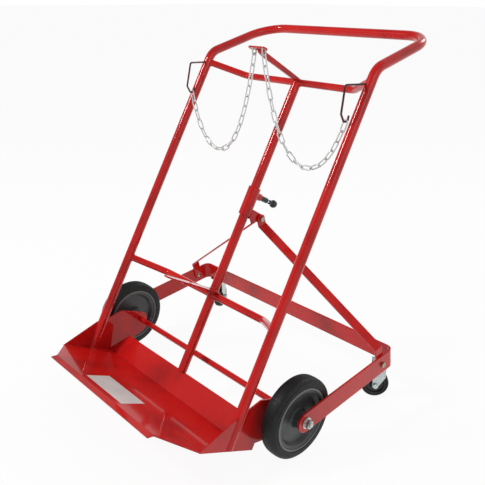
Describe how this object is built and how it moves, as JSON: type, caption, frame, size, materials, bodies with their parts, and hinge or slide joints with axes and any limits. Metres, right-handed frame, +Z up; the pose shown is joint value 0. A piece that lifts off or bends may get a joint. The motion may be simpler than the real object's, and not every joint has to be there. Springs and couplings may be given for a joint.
{
  "type": "oxy acetylene torch cart",
  "caption": "Leaning tube cart with a toe tray and two cylinder bays, large wheels, a folding castor frame, sliding lock sleeve, braces and hanging chains.",
  "frame": {"origin": "on the ground under the middle of the cart's bounding box", "axes": "+Z up, +X to the right seen from the front, -Y the front with the toe tray, +Y the rear with the castors and the handle"},
  "size_m": [0.794, 0.8639, 0.9502],
  "materials": {
    "red_powder_coat": "gloss powder coat",
    "tyre_rubber": "matte black solid rubber",
    "hub_plastic": "satin dark grey",
    "zinc_plate": "bright zinc plated",
    "chain_zinc": "galvanised",
    "hook_paint": "dark dip coat",
    "black_plastic": "moulded black",
    "black_steel": "black oxide",
    "castor_rubber": "matte black",
    "castor_hub_plastic": "grey moulded",
    "blank_label": "blank vinyl label"
  },
  "bodies": {
    "cart_frame": {"main_hoop": "red_powder_coat", "centre_upright": "red_powder_coat", "top_cross_tie": "red_powder_coat", "left_lower_tie": "red_powder_coat", "right_lower_tie": "red_powder_coat", "top_separator_bar": "red_powder_coat", "separator_cross_plate": "red_powder_coat", "chain_eyes": "red_powder_coat", "lower_separator_tongue": "red_powder_coat", "toe_tray": "red_powder_coat", "toe_label": "blank_label", "axle": "zinc_plate", "axle_tube": "red_powder_coat", "axle_nuts": "zinc_plate", "axle_washers": "zinc_plate", "inner_spacers": "zinc_plate", "outer_spacers": "zinc_plate", "left_chain_hook": "hook_paint", "right_chain_hook": "hook_paint", "left_side_plate": "red_powder_coat", "right_side_plate": "red_powder_coat"},
    "left_wheel": {"left_tyre": "tyre_rubber", "left_hub": "hub_plastic"},
    "right_wheel": {"right_tyre": "tyre_rubber", "right_hub": "hub_plastic"},
    "rear_carrier": {"rear_frame": "red_powder_coat", "castor_lugs": "red_powder_coat", "left_arm_bolt": "zinc_plate", "right_arm_bolt": "zinc_plate", "left_castor_mount": "zinc_plate", "right_castor_mount": "zinc_plate", "left_castor_nut": "zinc_plate", "right_castor_nut": "zinc_plate"},
    "left_castor": {"left_castor_fork": "zinc_plate", "left_castor_axle": "zinc_plate"},
    "right_castor": {"right_castor_fork": "zinc_plate", "right_castor_axle": "zinc_plate"},
    "left_castor_wheel": {"left_castor_tyre": "castor_rubber", "left_castor_hub": "castor_hub_plastic"},
    "right_castor_wheel": {"right_castor_tyre": "castor_rubber", "right_castor_hub": "castor_hub_plastic"},
    "lock_sleeve": {"sleeve": "red_powder_coat", "sleeve_ears": "red_powder_coat", "plunger_boss": "red_powder_coat", "plunger_barrel": "black_steel", "brace_pivot_bolt": "zinc_plate", "brace_pivot_nut": "zinc_plate"},
    "lock_plunger": {"plunger_pin": "zinc_plate", "plunger_knob": "black_plastic"},
    "left_stay": {"left_brace": "red_powder_coat", "left_brace_rivet": "zinc_plate"},
    "right_stay": {"right_brace": "red_powder_coat", "right_brace_rivet": "zinc_plate"},
    "left_hanging_chain": {"left_chain": "chain_zinc"},
    "right_hanging_chain": {"right_chain": "chain_zinc"}
  },
  "joints": [
    {"name": "left_wheel_spin", "type": "hinge", "parent": "cart_frame", "child": "left_wheel", "pos_m": [-0.347, -0.10335, 0.1], "axis": [1, 0, 0], "continuous": true},
    {"name": "right_wheel_spin", "type": "hinge", "parent": "cart_frame", "child": "right_wheel", "pos_m": [0.347, -0.10335, 0.1], "axis": [1, 0, 0], "continuous": true},
    {"name": "rear_frame_fold", "type": "hinge", "parent": "cart_frame", "child": "rear_carrier", "pos_m": [0, -0.10335, 0.1], "axis": [1, 0, 0], "range_deg": [0, 25]},
    {"name": "left_castor_swivel", "type": "hinge", "parent": "rear_carrier", "child": "left_castor", "pos_m": [-0.3455, 0.24712, 0.1], "axis": [0, 0, 1], "continuous": true},
    {"name": "left_castor_wheel_spin", "type": "hinge", "parent": "left_castor", "child": "left_castor_wheel", "pos_m": [-0.35768, 0.2678, 0.0375], "axis": [0.8616, 0.5075, 0], "continuous": true},
    {"name": "right_castor_swivel", "type": "hinge", "parent": "rear_carrier", "child": "right_castor", "pos_m": [0.3455, 0.24712, 0.1], "axis": [0, 0, 1], "continuous": true},
    {"name": "right_castor_wheel_spin", "type": "hinge", "parent": "right_castor", "child": "right_castor_wheel", "pos_m": [0.32841, 0.23027, 0.0375], "axis": [-0.7022, 0.712, 0], "continuous": true},
    {"name": "sleeve_slide", "type": "slide", "parent": "cart_frame", "child": "lock_sleeve", "axis": [0, 0.4939, 0.8695], "range_m": [0, 0.1478]},
    {"name": "plunger_pull", "type": "slide", "parent": "lock_sleeve", "child": "lock_plunger", "axis": [0, 0.8695, -0.4939], "range_m": [0, 0.008], "stiffness_N_per_m": 800, "springref_m": -0.004},
    {"name": "left_brace_swing", "type": "hinge", "parent": "lock_sleeve", "child": "left_stay", "pos_m": [0, 0.09602, 0.45587], "axis": [1, 0, 0], "range_deg": [-20.1, 0]},
    {"name": "right_brace_swing", "type": "hinge", "parent": "lock_sleeve", "child": "right_stay", "pos_m": [0, 0.09602, 0.45587], "axis": [1, 0, 0], "range_deg": [-20.1, 0]},
    {"name": "left_chain_swing", "type": "hinge", "parent": "cart_frame", "child": "left_hanging_chain", "pos_m": [-0.012, 0.08992, 0.89172], "axis": [-0.908, 0.0384, -0.4172], "range_deg": [-5, 10]},
    {"name": "right_chain_swing", "type": "hinge", "parent": "cart_frame", "child": "right_hanging_chain", "pos_m": [0.023, 0.08992, 0.89172], "axis": [0.8931, 0.0344, -0.4484], "range_deg": [-10, 5]}
  ],
  "couplings": [
    {"joint": "sleeve_slide", "follows": "rear_frame_fold", "m_per_rad": 0.33875},
    {"joint": "left_brace_swing", "follows": "rear_frame_fold", "ratio": -0.79879},
    {"joint": "right_brace_swing", "follows": "rear_frame_fold", "ratio": -0.79879}
  ]
}
